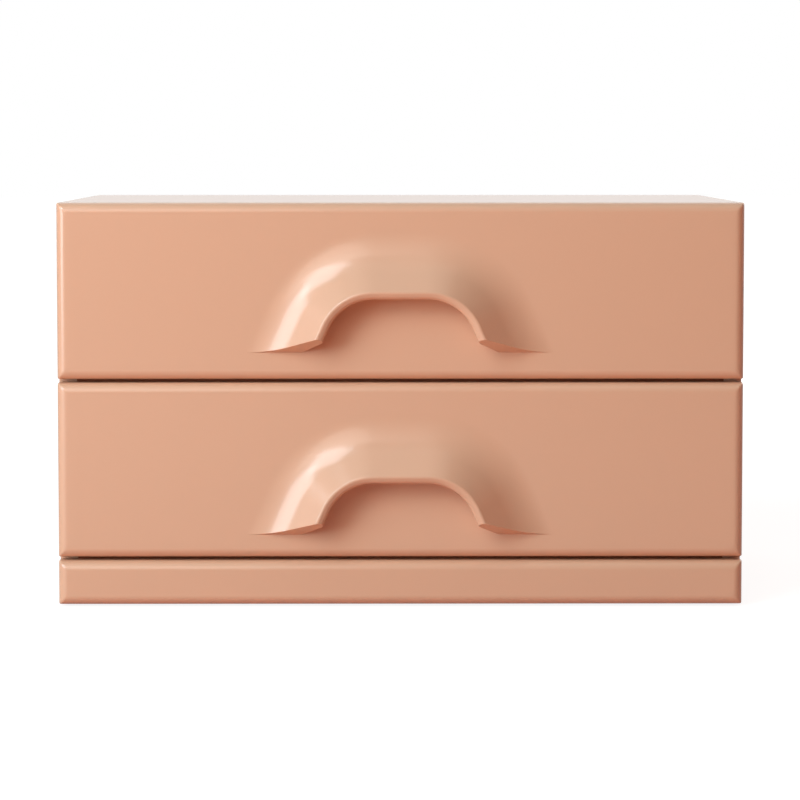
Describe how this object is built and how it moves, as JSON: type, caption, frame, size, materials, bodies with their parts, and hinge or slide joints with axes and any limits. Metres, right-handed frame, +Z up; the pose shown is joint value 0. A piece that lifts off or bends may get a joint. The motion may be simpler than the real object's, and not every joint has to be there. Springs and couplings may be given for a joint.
{
  "type": "chest of drawers",
  "caption": "Low floor-standing chest with full-overlay lacquered drawer fronts, arched cowl pulls grown out of them, a plinth, dovetailed boxes and telescopic runners.",
  "frame": {"origin": "on the floor, under the middle of the whole object's box, pulls included", "axes": "+Z up, the fronts face -Y, +X to the right of someone who faces the fronts"},
  "size_m": [0.7, 0.43, 0.414],
  "materials": {
    "peach_lacquer": "high-gloss peach lacquer on MDF",
    "inner_board": "satin peach lacquer on MDF",
    "back_board": "satin peach lacquer on hardboard",
    "birch_plywood": "clear satin varnish",
    "zinc_plated_steel": "bright zinc plate",
    "screw_steel": "zinc plate",
    "cage_plastic": "moulded, matt",
    "bumper_rubber": "clear soft, matt",
    "glide_plastic": "moulded, matt"
  },
  "bodies": {
    "case": {"side_panel_left": "peach_lacquer", "side_panel_right": "peach_lacquer", "top_panel": "peach_lacquer", "bottom_panel": "inner_board", "back_panel": "back_board", "middle_rail": "inner_board", "front_plinth_rail": "inner_board", "rear_plinth_rail": "inner_board", "plinth_fascia": "peach_lacquer", "fascia_screws": "screw_steel", "mitre_splines": "birch_plywood", "floor_glides": "glide_plastic", "drawer_bumpers": "bumper_rubber", "case_runner_screws": "screw_steel", "lower_case_member_left": "zinc_plated_steel", "lower_case_member_right": "zinc_plated_steel", "upper_case_member_left": "zinc_plated_steel", "upper_case_member_right": "zinc_plated_steel"},
    "upper_drawer": {"upper_front": "peach_lacquer", "upper_front_screws": "screw_steel", "upper_box_front": "birch_plywood", "upper_box_back": "birch_plywood", "upper_box_bottom": "birch_plywood", "upper_box_side_left": "birch_plywood", "upper_box_side_right": "birch_plywood", "upper_drawer_member_left": "zinc_plated_steel", "upper_drawer_member_right": "zinc_plated_steel", "upper_runner_screws": "screw_steel"},
    "upper_middle_members": {"upper_middle_member_left": "zinc_plated_steel", "upper_middle_member_right": "zinc_plated_steel"},
    "upper_outer_cages": {"upper_outer_ball_cages": "cage_plastic"},
    "upper_inner_cages": {"upper_inner_ball_cages": "cage_plastic"},
    "lower_drawer": {"lower_front": "peach_lacquer", "lower_front_screws": "screw_steel", "lower_box_front": "birch_plywood", "lower_box_back": "birch_plywood", "lower_box_bottom": "birch_plywood", "lower_box_side_left": "birch_plywood", "lower_box_side_right": "birch_plywood", "lower_drawer_member_left": "zinc_plated_steel", "lower_drawer_member_right": "zinc_plated_steel", "lower_runner_screws": "screw_steel"},
    "lower_middle_members": {"lower_middle_member_left": "zinc_plated_steel", "lower_middle_member_right": "zinc_plated_steel"},
    "lower_outer_cages": {"lower_outer_ball_cages": "cage_plastic"},
    "lower_inner_cages": {"lower_inner_ball_cages": "cage_plastic"}
  },
  "joints": [
    {"name": "upper_drawer_slide", "type": "slide", "parent": "case", "child": "upper_drawer", "axis": [0, -1, 0], "range_m": [0, 0.34]},
    {"name": "upper_middle_members_slide", "type": "slide", "parent": "case", "child": "upper_middle_members", "axis": [0, -1, 0], "range_m": [0, 0.17]},
    {"name": "upper_outer_cages_slide", "type": "slide", "parent": "case", "child": "upper_outer_cages", "axis": [0, -1, 0], "range_m": [0, 0.085]},
    {"name": "upper_inner_cages_slide", "type": "slide", "parent": "case", "child": "upper_inner_cages", "axis": [0, -1, 0], "range_m": [0, 0.255]},
    {"name": "lower_drawer_slide", "type": "slide", "parent": "case", "child": "lower_drawer", "axis": [0, -1, 0], "range_m": [0, 0.34]},
    {"name": "lower_middle_members_slide", "type": "slide", "parent": "case", "child": "lower_middle_members", "axis": [0, -1, 0], "range_m": [0, 0.17]},
    {"name": "lower_outer_cages_slide", "type": "slide", "parent": "case", "child": "lower_outer_cages", "axis": [0, -1, 0], "range_m": [0, 0.085]},
    {"name": "lower_inner_cages_slide", "type": "slide", "parent": "case", "child": "lower_inner_cages", "axis": [0, -1, 0], "range_m": [0, 0.255]}
  ],
  "couplings": [
    {"joint": "upper_middle_members_slide", "follows": "upper_drawer_slide", "ratio": 0.5},
    {"joint": "upper_outer_cages_slide", "follows": "upper_drawer_slide", "ratio": 0.25},
    {"joint": "upper_inner_cages_slide", "follows": "upper_drawer_slide", "ratio": 0.75},
    {"joint": "lower_middle_members_slide", "follows": "lower_drawer_slide", "ratio": 0.5},
    {"joint": "lower_outer_cages_slide", "follows": "lower_drawer_slide", "ratio": 0.25},
    {"joint": "lower_inner_cages_slide", "follows": "lower_drawer_slide", "ratio": 0.75}
  ]
}
